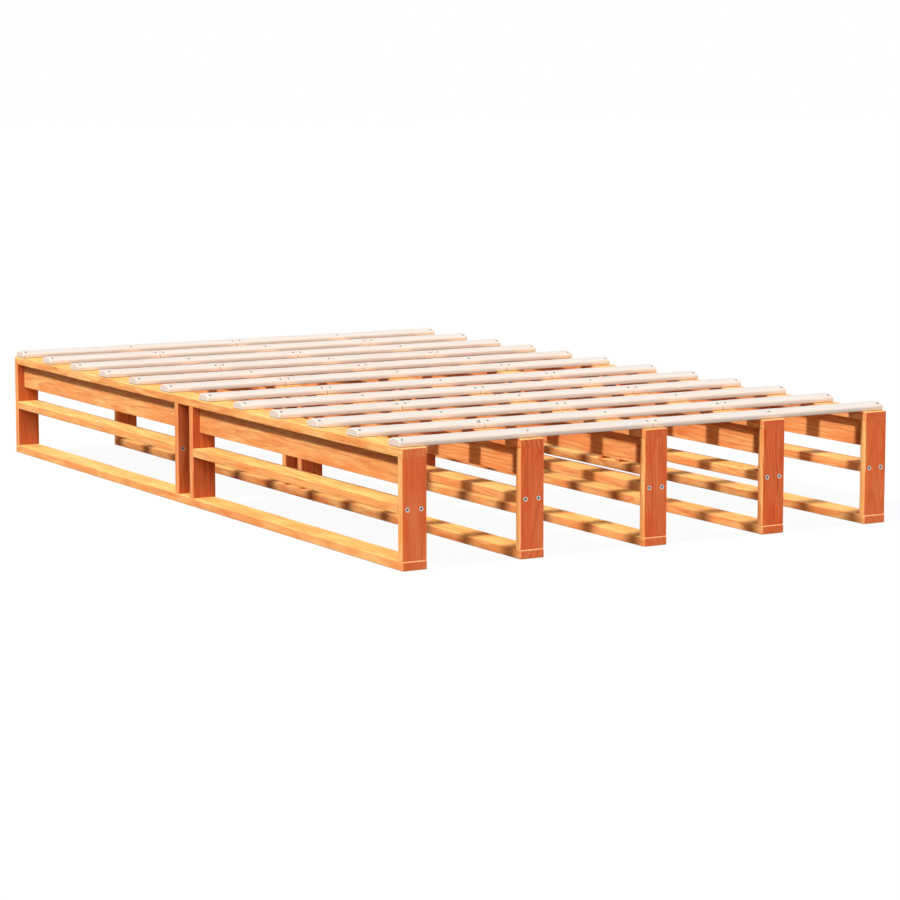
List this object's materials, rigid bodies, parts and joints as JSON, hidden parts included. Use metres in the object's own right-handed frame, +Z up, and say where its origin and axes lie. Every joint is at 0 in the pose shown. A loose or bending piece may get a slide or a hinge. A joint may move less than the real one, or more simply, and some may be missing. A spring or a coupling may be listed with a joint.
{
  "type": "slatted bed base",
  "caption": "Low slatted platform bed base: ladder-like stained board frames run its length, with pale crowned slats screwed across them.",
  "frame": {"origin": "on the floor under the middle of the bed", "axes": "+X to the right side, +Y from the foot end to the head end, +Z up"},
  "size_m": [1.2, 2, 0.2617],
  "materials": {
    "stained_pine": "satin stain and wax over pine grain",
    "pale_slat_wood": "plain planed, unfinished",
    "frame_screw_steel": "bright, with a dark socket",
    "slat_screw_steel": "dark, countersunk"
  },
  "bodies": {
    "root": {"frame_1_bottom_board": "stained_pine", "frame_1_top_rail": "stained_pine", "frame_1_foot_post": "stained_pine", "frame_1_foot_mid_post": "stained_pine", "frame_1_foot_shelf": "stained_pine", "frame_1_head_post": "stained_pine", "frame_1_head_mid_post": "stained_pine", "frame_1_head_shelf": "stained_pine", "frame_2_bottom_board": "stained_pine", "frame_2_top_rail": "stained_pine", "frame_2_foot_post": "stained_pine", "frame_2_foot_mid_post": "stained_pine", "frame_2_foot_shelf": "stained_pine", "frame_2_head_post": "stained_pine", "frame_2_head_mid_post": "stained_pine", "frame_2_head_shelf": "stained_pine", "frame_3_bottom_board": "stained_pine", "frame_3_top_rail": "stained_pine", "frame_3_foot_post": "stained_pine", "frame_3_foot_mid_post": "stained_pine", "frame_3_foot_shelf": "stained_pine", "frame_3_head_post": "stained_pine", "frame_3_head_mid_post": "stained_pine", "frame_3_head_shelf": "stained_pine", "frame_4_bottom_board": "stained_pine", "frame_4_top_rail": "stained_pine", "frame_4_foot_post": "stained_pine", "frame_4_foot_mid_post": "stained_pine", "frame_4_foot_shelf": "stained_pine", "frame_4_head_post": "stained_pine", "frame_4_head_mid_post": "stained_pine", "frame_4_head_shelf": "stained_pine", "frame_5_bottom_board": "stained_pine", "frame_5_top_rail": "stained_pine", "frame_5_foot_post": "stained_pine", "frame_5_foot_mid_post": "stained_pine", "frame_5_foot_shelf": "stained_pine", "frame_5_head_post": "stained_pine", "frame_5_head_mid_post": "stained_pine", "frame_5_head_shelf": "stained_pine", "slat_row_01_left": "pale_slat_wood", "slat_row_01_right": "pale_slat_wood", "slat_row_02": "pale_slat_wood", "slat_row_03_left": "pale_slat_wood", "slat_row_03_right": "pale_slat_wood", "slat_row_04": "pale_slat_wood", "slat_row_05_left": "pale_slat_wood", "slat_row_05_right": "pale_slat_wood", "slat_row_06": "pale_slat_wood", "slat_row_07": "pale_slat_wood", "slat_row_08_left": "pale_slat_wood", "slat_row_08_right": "pale_slat_wood", "slat_row_09": "pale_slat_wood", "slat_row_10_left": "pale_slat_wood", "slat_row_10_right": "pale_slat_wood", "slat_row_11": "pale_slat_wood", "slat_row_12_left": "pale_slat_wood", "slat_row_12_right": "pale_slat_wood"}
  },
  "joints": []
}
